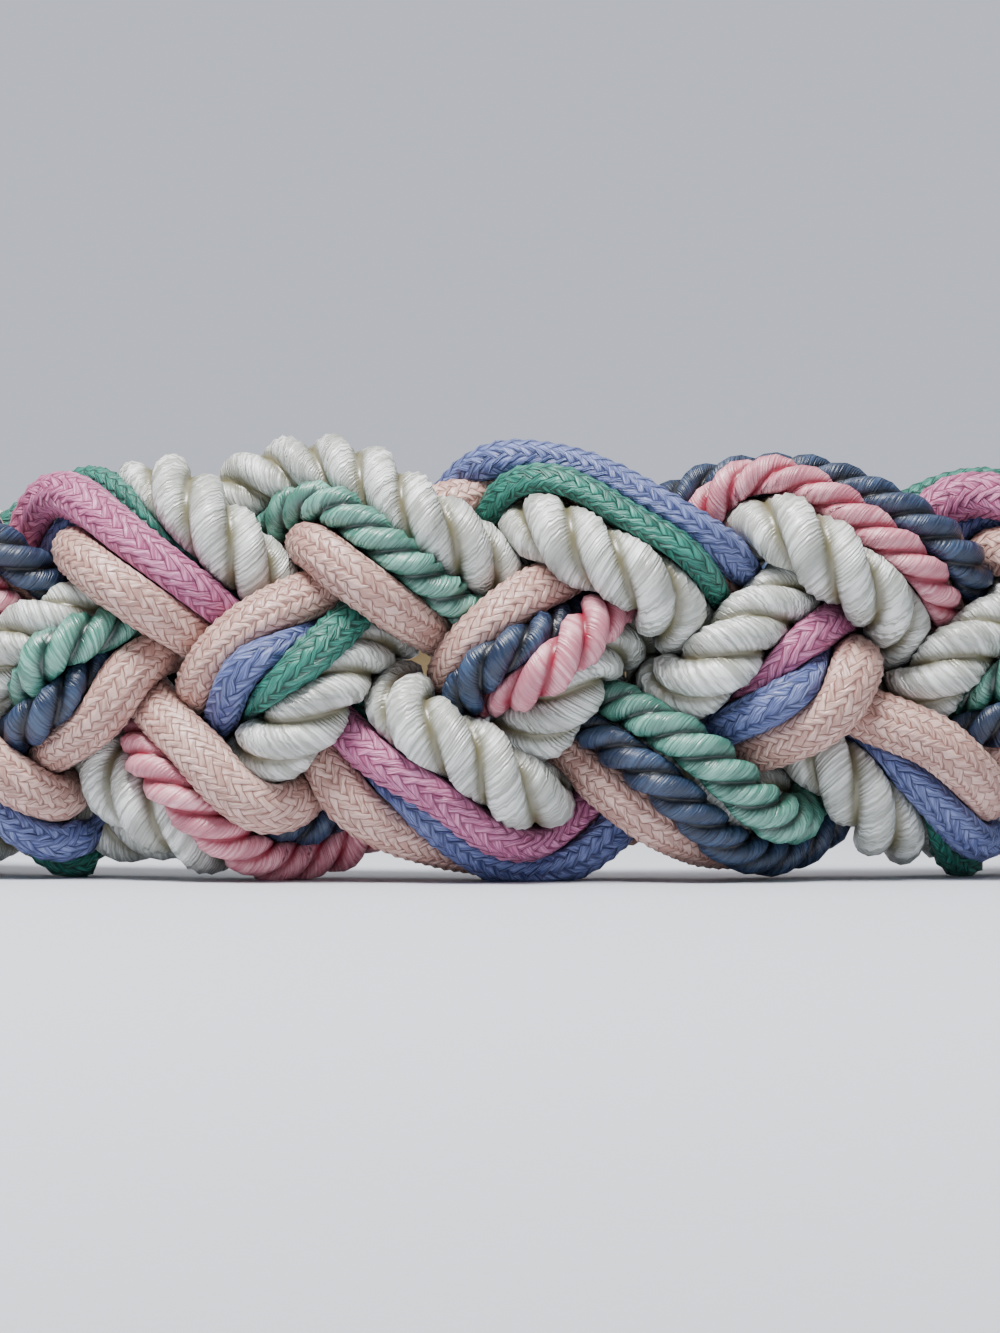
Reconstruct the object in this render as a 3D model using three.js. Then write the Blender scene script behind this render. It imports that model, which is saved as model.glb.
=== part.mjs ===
// Braided rope belt: a whole waist loop of four strands in a flat over-under braid, joined at the back by
// a plain sleeve clasp. Each strand is a flat bundle of four or five cords laid side by side, and its solid
// follows that bundle: the cords push each other apart until they lie side by side, as in the real braid.
// Millimetres, +Z up. The belt stands on its lower edge. +X runs to the right along the front, and the
// front faces -Y.
import * as THREE from 'three';

// Driving sizes
const WAIST_WIDTH = 226;        // inside the loop, side to side
const WAIST_DEPTH = 160;        // inside the loop, front to back
const BELT_WIDTH = 51;          // height of the band
const BELT_THICKNESS = 26;
const REPEAT_LENGTH = 109;      // one full repeat of the braid along the belt

// Cord diameters
const WHITE_ROPE = 8.8;
const PEACH_BRAID = 6.6;
const MINT_TWIST = 6.2;
const ROSE_TWIST = 6.0;
const SLATE_TWIST = 5.8;
const PINK_BRAID = 5.8;
const BLUE_BRAID = 5.4;
const GREEN_BRAID = 5.0;

// Clasp sizes
const CLASP_LENGTH = 64;
const CLASP_THICKNESS = 27;
const CLASP_WALL = 2;
const CLASP_CORNER = 7;
const CLASP_EDGE = 1.2;
const SOCKET_DEPTH = 20;
const SOCKET_CLEARANCE = 0.4;
const TAPER_LENGTH = 26;        // stretch over which the braid narrows to enter the clasp

const STRAND_GAP = 0.7;         // between the solids of two strands

// How the braid lies, in shares of the sizes above
const TURN_HEIGHT = 0.337;      // strand's middle at its turns, of the belt's width
const TURN_ROUNDNESS = 0.93;    // 0 is a sine wave, 1 a zigzag
const MIDDLE_SAG = 0.031;       // the middle row lies this much lower, of the belt's width
const BUNDLE_WIDTH = 0.343;     // width of a strand's row of cords, of the belt's width
const MIDDLE_SPREAD = 0.14;     // more of it where the strand crosses over in the middle
const LOWER_SQUEEZE = 0.049;    // less of it where the strand crosses over below
const CROSSING_REACH = 0.8;     // both of these fade along this many stations from the middle row
const LOWER_REACH = 1.2;        // and from the lower row
const DEEP_NARROWING = 0.75;    // a cord gives up this share of its width for each depth
const DEEP_GATHERING = 0.3;     // and moves this share nearer to the strand's middle
const MOST_DEPTH = 1.3;         // up to this depth
const LEAST_SHARE = 0.1;        // and keeps at least this share
const SURFACE_HEIGHT = 0.469;   // outside of the upper cords, of the belt's thickness
const DEPTH_STEP = 0.173;       // one depth in the table, of the belt's thickness
const TUCK_STEP = 0.192;        // one depth at a turn, towards the back, of the belt's thickness
const MIDDLE_TUCK = 0.15;       // in the middle row the strands move back by this share of the wave
const OVAL_MARGIN = 0.04;       // the belt's oval section reaches this much past its edges, of its width
const LEAST_HEIGHT = 0.02;      // a deep cord's distance from the middle layer, of the belt's thickness
const CROSS_SOFTNESS = 0.84;    // cords of two strands press into each other to this share
const INNER_SOFTNESS = 0.72;    // cords of one strand do so to this share
const TOGETHER = 0.9;           // and part no further than this share
const CROSS_CLOSENESS = 0.7;    // cords nearer than this share of their distance are crossing
const CROSS_LIFT = 0.3;         // the one in front then stays this share of it in front
const CROSS_ORDER = 0.15;       // where the two height waves differ by at least this much
const WEB_SHARE = 0.4;          // web between neighbouring cords of a solid, of the thinner one's radius

const NODES = 72;               // points along a cord in one repeat
const RINGS = 24;               // sections of a strand's solid in one repeat
const COLUMNS = 4;              // points across a strand's upper and lower face
const CORNER_PARTS = 3;         // facets of a clasp corner
const SOCKET_PARTS = 2;         // lengths of a clasp socket
const BODY_PARTS = 8;           // lengths of the clasp's outside
const LOOP_PARTS = 1440;        // lengths that the loop is measured in
const SETTLING_ROUNDS = 400;
const CLEARING_ROUNDS = 100;    // rounds at the end that only part the cords
const PAIRING_ROUNDS = 12;      // rounds between searches for touching cords
const PAIRING_REACH = 0.04;     // how far that search looks, of the belt's width
const PUSH_STRENGTH = 1.4;
const TOGETHER_STRENGTH = 0.2;
const STRAIGHTENING = 0.4;
const AIM_PULL = 0.06;          // towards the laid place, at the start
const LEAST_PULL = 0.3;         // the pull fades to this share of it
const SETTLING = { firmness: 0.3, passes: 3 };
const CLEARING = { firmness: 0.05, passes: 1 };
const FACE_PASSES = 8;          // rounds of moving the solids' faces off each other

// Each strand's cords from its upper side down. depth says how deep a cord lies in the strand, in depth
// steps, at the eight stations of a repeat.
const STATIONS = ['upper turn', 'front upper', 'back middle', 'front lower',
  'lower turn', 'back lower', 'front middle', 'back upper'];
const STRANDS = [
  { name: 'strand_pink', colour: 0xcf8aa8, cords: [
    { diameter: WHITE_ROPE, depth: [1.3, 0.1, 0, 0.3, 0, 1, 1.2, 0] },
    { diameter: GREEN_BRAID, depth: [0.8, 0.9, 1, 1, 1, 1, 1.8, 1] },
    { diameter: PINK_BRAID, depth: [0, -0.1, 0, -0.3, 0, 0, -0.7, 0] },
    { diameter: BLUE_BRAID, depth: [1, 1, 0, 0.3, 0, 0, -0.6, 0] },
    { diameter: PEACH_BRAID, depth: [0, 0, 1, 0.2, 1.2, 0, 0.7, 1] },
  ] },
  { name: 'strand_mint', colour: 0x93c5ae, cords: [
    { diameter: WHITE_ROPE, depth: [0, 0, 0, 1.6, 0, 1, 1.5, 0] },
    { diameter: MINT_TWIST, depth: [0, 0, 0, -0.1, 0, 0, -0.8, 0] },
    { diameter: SLATE_TWIST, depth: [1, 1.2, 0, -0.1, 0, 0, -0.5, 0] },
    { diameter: PEACH_BRAID, depth: [0, 0, 1, 0.3, 1.2, 0, 0.6, 1] },
  ] },
  { name: 'strand_green', colour: 0x4f9f8b, cords: [
    { diameter: PEACH_BRAID, depth: [1.2, 1.5, 1.3, 0, 0, 0, 0.8, 1] },
    { diameter: BLUE_BRAID, depth: [0, 0, 0, -0.1, 0, 0, -0.9, 0] },
    { diameter: GREEN_BRAID, depth: [0, -0.2, 0, 1.4, 0.9, 0, -0.7, 0] },
    { diameter: WHITE_ROPE, depth: [0, 0.1, 0, 0.2, 1.5, 1, 1.3, 0] },
  ] },
  { name: 'strand_slate', colour: 0x5f7298, cords: [
    { diameter: PEACH_BRAID, depth: [1, 1.5, 1.3, 0, 0, 0, 0.7, 1] },
    { diameter: SLATE_TWIST, depth: [0.5, 0.6, 0.3, 1, 1, 0, -0.6, 0] },
    { diameter: ROSE_TWIST, depth: [0, -0.1, 0, -0.1, 0, 0, -0.9, 0] },
    { diameter: WHITE_ROPE, depth: [0, 0.1, 0, 1.2, 1.5, 1, 1.4, 0] },
  ] },
];
const FIRST_CROSSING = -1.35;   // first strand's upper crossing from the middle of the front, in steps

const STEP = REPEAT_LENGTH / STRANDS.length;
const HALF_WIDTH = BELT_WIDTH / 2;
const HALF_THICKNESS = BELT_THICKNESS / 2;

// Small helpers
const clamp = (value, low, high) => Math.min(Math.max(value, low), high);
const smooth = (share) => share * share * (3 - 2 * share);
const bump = (place, middle, reach) => Math.exp(-(((place - middle) / reach) ** 2));
const nearestRepeat = (dx) => dx - REPEAT_LENGTH * Math.round(dx / REPEAT_LENGTH);

// Station number t runs from -1 at the upper turn to 7, one repeat later
function depthAt(depth, t) {
  const first = clamp(Math.floor(t + 1), 0, STATIONS.length - 1);
  const share = smooth(t + 1 - first);
  const next = (first + 1) % STATIONS.length;
  return depth[first] * (1 - share) + depth[next] * share;
}

// Height wave of a strand: 1 in front, -1 behind, 0 at the turns
function wave(t) {
  let height;
  if (t <= 0) height = -Math.cos((Math.PI * (t + 2)) / 2);
  else if (t <= 2) height = Math.cos(Math.PI * t);
  else if (t <= 4) height = Math.cos((Math.PI * (t - 2)) / 2);
  else if (t <= 6) height = -Math.cos(Math.PI * t);
  else height = -Math.cos((Math.PI * (t - 6)) / 2);
  const middleBias = MIDDLE_TUCK * (bump(t, 5, CROSSING_REACH) - bump(t, 1, CROSSING_REACH));
  return clamp(height + middleBias, -1, 1);
}

// Where the cords of one repeat should lie, before they push each other apart.
// Flat belt coordinates: x along the belt, y up, z out of its front.
function layCords() {
  const cords = [];
  STRANDS.forEach((strand, strandIndex) => {
    const start = (strandIndex + FIRST_CROSSING) * STEP;
    const points = strand.cords.map(() => new Float64Array(NODES * 3));
    const waves = Array.from({ length: NODES }, (_, node) => wave((8 * node) / NODES - 1));
    for (let node = 0; node < NODES; node += 1) {
      const t = (8 * node) / NODES - 1;
      const phase = (Math.PI * (t + 1)) / 4;
      const lean = TURN_ROUNDNESS * Math.cos(phase);
      const reach = (TURN_HEIGHT * BELT_WIDTH) / Math.asin(TURN_ROUNDNESS);
      const y = reach * Math.asin(lean) - MIDDLE_SAG * BELT_WIDTH * Math.sin(phase) ** 2;
      const rise = (-reach * TURN_ROUNDNESS * Math.sin(phase) * Math.PI) / 4 / Math.sqrt(1 - lean ** 2);
      const run = STEP / 2;
      const slant = Math.hypot(run, rise);
      const across = [-rise / slant, run / slant];
      const turn = Math.max(0, 1 - Math.abs(t + 1)) + Math.max(0, 1 - Math.abs(t - 3)) + Math.max(0, t - 6);
      const depths = strand.cords.map((cord) => depthAt(cord.depth, t));
      const shares = strand.cords.map((cord, i) => (
        cord.diameter * Math.max(LEAST_SHARE, 1 - DEEP_NARROWING * depths[i])));
      const total = shares.reduce((sum, share) => sum + share, 0);
      const width = BELT_WIDTH * (BUNDLE_WIDTH + MIDDLE_SPREAD * bump(t, 5, CROSSING_REACH)
        - LOWER_SQUEEZE * bump(t, 2, LOWER_REACH));
      let used = 0;
      strand.cords.forEach((cord, i) => {
        const centre = (total / 2 - used - shares[i] / 2) / total;
        used += shares[i];
        const offset = centre * width * (1 - DEEP_GATHERING * clamp(depths[i], 0, MOST_DEPTH));
        const cordY = y + offset * across[1];
        const ovalEdge = HALF_WIDTH + OVAL_MARGIN * BELT_WIDTH;
        const oval = Math.sqrt(clamp(1 - (cordY / ovalEdge) ** 2, LEAST_SHARE, 1));
        const surface = SURFACE_HEIGHT * BELT_THICKNESS * oval;
        const height = surface - cord.diameter / 2 - depths[i] * DEPTH_STEP * BELT_THICKNESS;
        const tuck = turn * depths[i] * TUCK_STEP * BELT_THICKNESS;
        points[i].set([start + t * run + offset * across[0], cordY,
          waves[node] * Math.max(height, LEAST_HEIGHT * BELT_THICKNESS) - tuck], node * 3);
      });
    }
    strand.cords.forEach((cord, i) => cords.push({ strand: strandIndex, radius: cord.diameter / 2,
      points: points[i], aim: points[i].slice(), waves }));
  });
  return cords;
}

// Pairs of points of two cords that are near each other
function findPairs(cords) {
  const reach = PAIRING_REACH * BELT_WIDTH;
  const pairs = [];
  for (let a = 0; a < cords.length; a += 1) {
    for (let b = a + 1; b < cords.length; b += 1) {
      const softness = cords[a].strand === cords[b].strand ? INNER_SOFTNESS : CROSS_SOFTNESS;
      const apart = softness * (cords[a].radius + cords[b].radius);
      const p = cords[a].points;
      const q = cords[b].points;
      for (let i = 0; i < p.length; i += 3) {
        for (let j = 0; j < q.length; j += 3) {
          const dy = p[i + 1] - q[j + 1];
          const dz = p[i + 2] - q[j + 2];
          const dx = nearestRepeat(p[i] - q[j]);
          if (dx * dx + dy * dy + dz * dz < (apart + reach) ** 2) pairs.push([a, i, b, j, apart]);
        }
      }
    }
  }
  return pairs;
}

function pushApart(cords, pairs) {
  const pushes = cords.map((cord) => new Float64Array(cord.points.length));
  const counts = cords.map((cord) => new Uint16Array(cord.points.length));
  for (const [a, i, b, j, apart] of pairs) {
    const p = cords[a].points;
    const q = cords[b].points;
    const d = [nearestRepeat(p[i] - q[j]), p[i + 1] - q[j + 1], p[i + 2] - q[j + 2]];
    // Where two strands cross, the one in front stays in front
    const order = cords[a].waves[i / 3] - cords[b].waves[j / 3];
    const crossing = cords[a].strand !== cords[b].strand && Math.abs(order) > CROSS_ORDER;
    if (crossing && Math.hypot(d[0], d[1]) < CROSS_CLOSENESS * apart) {
      const front = Math.sign(order);
      d[2] = front * Math.max(front * d[2], CROSS_LIFT * apart);
    }
    const distance = Math.max(Math.hypot(...d), 1e-6);
    if (distance < apart) {
      const share = (0.5 * (apart - distance)) / distance;
      for (let axis = 0; axis < 3; axis += 1) {
        pushes[a][i + axis] += share * d[axis];
        pushes[b][j + axis] -= share * d[axis];
      }
      counts[a][i] += 1;
      counts[b][j] += 1;
    }
  }
  cords.forEach((cord, c) => {
    for (let i = 0; i < cord.points.length; i += 3) {
      const share = PUSH_STRENGTH / Math.max(counts[c][i], 1);
      for (let axis = 0; axis < 3; axis += 1) cord.points[i + axis] += share * pushes[c][i + axis];
    }
  });
}

// Neighbouring cords of a strand stay together
function holdTogether(cords) {
  for (let c = 0; c + 1 < cords.length; c += 1) {
    const first = cords[c];
    const second = cords[c + 1];
    if (first.strand !== second.strand) continue;
    const most = TOGETHER * (first.radius + second.radius);
    for (let i = 0; i < first.points.length; i += 3) {
      const d = [0, 1, 2].map((axis) => second.points[i + axis] - first.points[i + axis]);
      const distance = Math.hypot(...d);
      if (distance > most) {
        const share = (TOGETHER_STRENGTH * (distance - most)) / distance;
        for (let axis = 0; axis < 3; axis += 1) {
          first.points[i + axis] += share * d[axis];
          second.points[i + axis] -= share * d[axis];
        }
      }
    }
  }
}

// The oval outside of the belt holds the cords in
function holdIn(cord, firmness) {
  const halfY = HALF_WIDTH - cord.radius;
  const halfZ = HALF_THICKNESS - cord.radius;
  const p = cord.points;
  for (let i = 0; i < p.length; i += 3) {
    const outside = Math.hypot(p[i + 1] / halfY, p[i + 2] / halfZ);
    if (outside > 1) {
      const share = 1 + (1 / outside - 1) * firmness;
      p[i + 1] *= share;
      p[i + 2] *= share;
    }
  }
}

// Evens out the bending of a cord along its length
function straighten(cord) {
  const p = cord.points;
  const count = p.length;
  const bend = new Float64Array(count);
  for (let i = 0; i < count; i += 1) {
    const overEnd = i + 3 >= count && i % 3 === 0 ? REPEAT_LENGTH : 0;
    const overStart = i < 3 && i % 3 === 0 ? REPEAT_LENGTH : 0;
    const next = p[(i + 3) % count] + overEnd;
    const previous = p[(i - 3 + count) % count] - overStart;
    bend[i] = 0.5 * (next + previous) - p[i];
  }
  for (let i = 0; i < count; i += 1) {
    const neighbours = 0.5 * (bend[(i + 3) % count] + bend[(i - 3 + count) % count]);
    p[i] -= STRAIGHTENING * (neighbours - bend[i]);
  }
}

function settleCords() {
  const cords = layCords();
  let pairs = [];
  for (let round = 0; round < SETTLING_ROUNDS + CLEARING_ROUNDS; round += 1) {
    const stage = round < SETTLING_ROUNDS ? SETTLING : CLEARING;
    if (round % PAIRING_ROUNDS === 0) pairs = findPairs(cords);
    pushApart(cords, pairs);
    holdTogether(cords);
    const slack = stage === SETTLING ? Math.max(1 - round / SETTLING_ROUNDS, LEAST_PULL) : 0;
    for (const cord of cords) {
      holdIn(cord, stage.firmness);
      for (let pass = 0; pass < stage.passes; pass += 1) straighten(cord);
      for (let i = 0; i < cord.points.length; i += 1) {
        cord.points[i] += slack * AIM_PULL * (cord.aim[i] - cord.points[i]);
      }
    }
  }
  return cords;
}

// A cord's point at any node number, in any repeat
function pointAt(cord, node) {
  const repeat = Math.floor(node / NODES);
  const i = (node - repeat * NODES) * 3;
  return new THREE.Vector3(cord.points[i] + repeat * REPEAT_LENGTH, cord.points[i + 1], cord.points[i + 2]);
}

function directionAt(cord, node) {
  return pointAt(cord, node + 1).sub(pointAt(cord, node - 1)).normalize();
}

// The cord point nearest to a place, measured from the cord's surface
function nearestPoint(cord, place) {
  const best = { power: Infinity, radius: cord.radius };
  for (let i = 0; i < cord.points.length; i += 3) {
    const dx = nearestRepeat(cord.points[i] - place.x);
    const dy = cord.points[i + 1] - place.y;
    const dz = cord.points[i + 2] - place.z;
    const power = dx * dx + dy * dy + dz * dz - cord.radius ** 2;
    if (power < best.power) {
      best.power = power;
      best.offset = [dx, dy, dz];
    }
  }
  return best;
}

// How far a place must move back to stay on its own strand's side of the planes halfway to other strands
function stepBack(place, strandIndex, cords) {
  const near = cords.map((cord) => nearestPoint(cord, place));
  const own = near.reduce((best, point, c) => (
    cords[c].strand === strandIndex && point.power < best.power ? point : best), { power: Infinity });
  const move = new THREE.Vector3();
  near.forEach((other, c) => {
    if (cords[c].strand === strandIndex) return;
    const way = new THREE.Vector3(...other.offset).sub(new THREE.Vector3(...own.offset));
    const distance = way.length();
    const over = (own.power - other.power) / (2 * distance) + STRAND_GAP / 2;
    if (over > 0) move.addScaledVector(way, -over / distance);
  });
  return move;
}

// One section of a strand: its upper face, its lower face and its two edges
function strandSection(strandIndex, ring, cords) {
  const node = (ring * NODES) / RINGS;
  const members = cords.filter((cord) => cord.strand === strandIndex);
  const middle = new THREE.Vector3();
  const along = new THREE.Vector3();
  members.forEach((cord) => {
    middle.addScaledVector(pointAt(cord, node), 1 / members.length);
    along.add(directionAt(cord, node));
  });
  along.normalize();
  const across = new THREE.Vector3(0, 0, 1).cross(along).normalize();
  const out = along.clone().cross(across);
  const circles = members.map((cord) => {
    const point = pointAt(cord, node);
    const direction = directionAt(cord, node);
    const ahead = point.clone().sub(middle).dot(along);
    point.addScaledVector(direction, -ahead / direction.dot(along));
    const offset = point.clone().sub(middle);
    return { radius: cord.radius, n: offset.dot(across), h: offset.dot(out) };
  });
  const low = circles.reduce((best, c) => (c.n - c.radius < best.n - best.radius ? c : best));
  const high = circles.reduce((best, c) => (c.n + c.radius > best.n + best.radius ? c : best));
  const from = low.n - low.radius;
  const to = high.n + high.radius;
  const place = (n, h) => middle.clone().addScaledVector(across, n).addScaledVector(out, h);
  // Outermost surface at one column: of the round cords, and of the webs that join neighbours
  const surface = (n, side) => {
    let best = -Infinity;
    circles.forEach((circle, i) => {
      const reach = circle.radius ** 2 - (n - circle.n) ** 2;
      if (reach > 0) best = Math.max(best, side * circle.h + Math.sqrt(reach));
      const next = circles[i + 1];
      if (next && (n - circle.n) * (n - next.n) < 0) {
        const share = (n - circle.n) / (next.n - circle.n);
        const line = circle.h * (1 - share) + next.h * share;
        best = Math.max(best, side * line + WEB_SHARE * Math.min(circle.radius, next.radius));
      }
    });
    return place(n, side * best);
  };
  const columns = Array.from({ length: COLUMNS }, (_, k) => from + ((k + 0.5) / COLUMNS) * (to - from));
  return [
    place(from, low.h),
    ...columns.map((n) => surface(n, -1)),
    place(to, high.h),
    ...columns.slice().reverse().map((n) => surface(n, 1)),
  ];
}

// Moves the faces of the strands off each other. Corners, edges and middles of faces are all tested.
function clearStrands(strands, cords) {
  const shift = new THREE.Vector3(REPEAT_LENGTH, 0, 0);
  for (let pass = 0; pass < FACE_PASSES; pass += 1) {
    strands.forEach((rings, strandIndex) => {
      const moves = rings.map((ring) => ring.map(() => ({ sum: new THREE.Vector3(), count: 0 })));
      rings.forEach((ring, r) => ring.forEach((corner, k) => {
        const nextRing = (r + 1) % rings.length;
        const nextPoint = (k + 1) % ring.length;
        const ahead = (point) => (nextRing === 0 ? point.clone().add(shift) : point);
        const faces = [
          [[r, k]],
          [[r, k], [r, nextPoint]],
          [[r, k], [nextRing, k]],
          [[r, nextPoint], [nextRing, k]],
        ];
        faces.forEach((places) => {
          const middle = new THREE.Vector3();
          places.forEach(([ringNumber, pointNumber]) => {
            const point = rings[ringNumber][pointNumber];
            middle.addScaledVector(ringNumber === r ? point : ahead(point), 1 / places.length);
          });
          const move = stepBack(middle, strandIndex, cords);
          if (move.lengthSq() > 0) {
            places.forEach(([ringNumber, pointNumber]) => {
              moves[ringNumber][pointNumber].sum.add(move);
              moves[ringNumber][pointNumber].count += 1;
            });
          }
        });
      }));
      moves.forEach((row, r) => row.forEach((move, k) => {
        if (move.count) rings[r][k].addScaledVector(move.sum, 1 / move.count);
      }));
    });
  }
}

// The loop's middle line: an ellipse, measured from the middle of the front
const LOOP_X = WAIST_WIDTH / 2 + HALF_THICKNESS;
const LOOP_Y = WAIST_DEPTH / 2 + HALF_THICKNESS;
const loopLengths = [0];
for (let part = 1; part <= LOOP_PARTS; part += 1) {
  const angle = (2 * Math.PI * (part - 0.5)) / LOOP_PARTS;
  const speed = Math.hypot(LOOP_X * Math.cos(angle), LOOP_Y * Math.sin(angle));
  loopLengths.push(loopLengths[part - 1] + (speed * 2 * Math.PI) / LOOP_PARTS);
}
const LOOP_LENGTH = loopLengths[LOOP_PARTS];

// Flat belt coordinates to the loop, standing on z = 0
function wrap(point) {
  const length = ((point.x % LOOP_LENGTH) + LOOP_LENGTH) % LOOP_LENGTH;
  let low = 0;
  let high = LOOP_PARTS;
  while (high - low > 1) {
    const middle = (low + high) >> 1;
    if (loopLengths[middle] <= length) low = middle;
    else high = middle;
  }
  const share = (length - loopLengths[low]) / (loopLengths[high] - loopLengths[low]);
  const angle = (2 * Math.PI * (low + share)) / LOOP_PARTS;
  const normal = new THREE.Vector2(Math.sin(angle) / LOOP_X, -Math.cos(angle) / LOOP_Y).normalize();
  return new THREE.Vector3(LOOP_X * Math.sin(angle) + normal.x * point.z,
    -LOOP_Y * Math.cos(angle) + normal.y * point.z, point.y + HALF_WIDTH);
}

// A closed solid through rings of points, each ring turning the same way
function loft(rings) {
  const size = rings[0].length;
  const positions = [];
  const indices = [];
  rings.forEach((ring) => ring.forEach((point) => positions.push(point.x, point.y, point.z)));
  for (let r = 0; r + 1 < rings.length; r += 1) {
    for (let k = 0; k < size; k += 1) {
      const a = r * size + k;
      const b = r * size + ((k + 1) % size);
      indices.push(a, b, a + size, b, b + size, a + size);
    }
  }
  [[rings[0], 0], [rings[rings.length - 1], (rings.length - 1) * size]].forEach(([ring, first], end) => {
    const centre = new THREE.Vector3();
    ring.forEach((point) => centre.addScaledVector(point, 1 / size));
    const hub = positions.length / 3;
    positions.push(centre.x, centre.y, centre.z);
    for (let k = 0; k < size; k += 1) {
      const a = first + k;
      const b = first + ((k + 1) % size);
      if (end === 0) indices.push(b, a, hub);
      else indices.push(a, b, hub);
    }
  });
  const geometry = new THREE.BufferGeometry();
  geometry.setAttribute('position', new THREE.Float32BufferAttribute(positions, 3));
  geometry.setIndex(indices);
  geometry.computeVertexNormals();
  return geometry;
}

const cords = settleCords();
const MOUTH = LOOP_LENGTH / 2 - CLASP_LENGTH / 2;
const BRAID_END = MOUTH + SOCKET_DEPTH - SOCKET_CLEARANCE;

// Sections of one repeat of every strand, held to the belt's width
const sections = STRANDS.map((_, strandIndex) => (
  Array.from({ length: RINGS }, (_unused, ring) => strandSection(strandIndex, ring, cords))));
clearStrands(sections, cords);
const allPoints = sections.flat(2);
allPoints.forEach((point) => { point.y = clamp(point.y, -HALF_WIDTH, HALF_WIDTH); });
const reachZ = Math.max(...allPoints.map((point) => Math.abs(point.z)));
const mouthY = (HALF_WIDTH - CLASP_WALL - SOCKET_CLEARANCE) / HALF_WIDTH;
const mouthZ = (CLASP_THICKNESS / 2 - CLASP_WALL - SOCKET_CLEARANCE) / reachZ;

// Near the clasp the braid narrows to its socket
function taper(point) {
  const share = smooth(clamp((Math.abs(point.x) - MOUTH + TAPER_LENGTH) / TAPER_LENGTH, 0, 1));
  return new THREE.Vector3(point.x, point.y * (1 + (mouthY - 1) * share),
    point.z * (1 + (Math.min(mouthZ, 1) - 1) * share));
}

function strandGeometry(strandIndex) {
  const rings = [];
  const most = Math.ceil((LOOP_LENGTH / REPEAT_LENGTH) * RINGS);
  for (let ring = -most; ring <= most; ring += 1) {
    const repeat = Math.floor(ring / RINGS);
    const shift = new THREE.Vector3(repeat * REPEAT_LENGTH, 0, 0);
    const points = sections[strandIndex][ring - repeat * RINGS].map((point) => point.clone().add(shift));
    if (points.every((point) => Math.abs(point.x) <= BRAID_END)) rings.push(points);
  }
  return loft(rings.map((ring) => ring.map((point) => wrap(taper(point)))));
}

// A rounded rectangle across the belt at length x
function claspRing(x, halfY, halfZ, corner) {
  const points = [];
  for (let quarter = 0; quarter < 4; quarter += 1) {
    const signY = quarter === 0 || quarter === 3 ? 1 : -1;
    const signZ = quarter < 2 ? 1 : -1;
    for (let k = 0; k <= CORNER_PARTS; k += 1) {
      const angle = (Math.PI / 2) * (quarter + k / CORNER_PARTS);
      points.push(wrap(new THREE.Vector3(x, signY * (halfY - corner) + corner * Math.cos(angle),
        signZ * (halfZ - corner) + corner * Math.sin(angle))));
    }
  }
  return points;
}

function claspGeometry() {
  const halfZ = CLASP_THICKNESS / 2;
  const halfLength = CLASP_LENGTH / 2;
  const innerCorner = CLASP_CORNER - CLASP_WALL;
  const inner = (x) => claspRing(x, HALF_WIDTH - CLASP_WALL, halfZ - CLASP_WALL, innerCorner);
  const outer = (x) => claspRing(x, HALF_WIDTH, halfZ, CLASP_CORNER);
  const lip = (x) => claspRing(x, HALF_WIDTH - CLASP_EDGE, halfZ - CLASP_EDGE, CLASP_CORNER - CLASP_EDGE);
  const centre = LOOP_LENGTH / 2;
  const rings = [];
  for (let k = 0; k <= SOCKET_PARTS; k += 1) {
    rings.push(inner(centre - halfLength + SOCKET_DEPTH * (1 - k / SOCKET_PARTS)));
  }
  rings.push(lip(centre - halfLength));
  for (let k = 0; k <= BODY_PARTS; k += 1) {
    rings.push(outer(centre + (halfLength - CLASP_EDGE) * ((2 * k) / BODY_PARTS - 1)));
  }
  rings.push(lip(centre + halfLength));
  for (let k = 0; k <= SOCKET_PARTS; k += 1) {
    rings.push(inner(centre + halfLength - SOCKET_DEPTH * (k / SOCKET_PARTS)));
  }
  return loft(rings);
}

const belt = new THREE.Group();
STRANDS.forEach((strand, strandIndex) => {
  const material = new THREE.MeshStandardMaterial({ color: strand.colour, roughness: 0.6, metalness: 0 });
  const mesh = new THREE.Mesh(strandGeometry(strandIndex), material);
  mesh.name = strand.name;
  belt.add(mesh);
});
const brass = new THREE.MeshStandardMaterial({ color: 0xc9ad77, roughness: 0.35, metalness: 1 });
const clasp = new THREE.Mesh(claspGeometry(), brass);
clasp.name = 'clasp';
belt.add(clasp);

export default belt;
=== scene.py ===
# Braided rope belt in its final look. The cords settle in a flat repeat of the braid, in millimetres,
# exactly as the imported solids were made. Then each one is wrapped round the waist loop, in metres.
import math

import bmesh
import bpy
import numpy as np
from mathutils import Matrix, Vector


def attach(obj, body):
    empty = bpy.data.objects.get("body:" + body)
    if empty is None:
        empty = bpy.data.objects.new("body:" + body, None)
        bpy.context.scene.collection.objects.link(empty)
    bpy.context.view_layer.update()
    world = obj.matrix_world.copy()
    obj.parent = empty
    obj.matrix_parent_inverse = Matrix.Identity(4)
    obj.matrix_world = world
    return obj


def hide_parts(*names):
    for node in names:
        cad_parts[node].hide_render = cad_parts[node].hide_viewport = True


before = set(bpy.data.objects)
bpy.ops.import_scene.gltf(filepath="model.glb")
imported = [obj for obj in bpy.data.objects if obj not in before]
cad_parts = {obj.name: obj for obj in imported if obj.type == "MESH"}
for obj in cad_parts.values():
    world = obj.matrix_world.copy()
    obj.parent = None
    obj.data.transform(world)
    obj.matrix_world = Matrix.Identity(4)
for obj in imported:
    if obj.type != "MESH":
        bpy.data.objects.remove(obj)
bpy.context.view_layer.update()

# Sizes of the belt, in millimetres
WAIST_WIDTH = 226
WAIST_DEPTH = 160
BELT_WIDTH = 51
BELT_THICKNESS = 26
REPEAT_LENGTH = 109
CLASP_LENGTH = 64
CLASP_THICKNESS = 27
CLASP_WALL = 2
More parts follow.
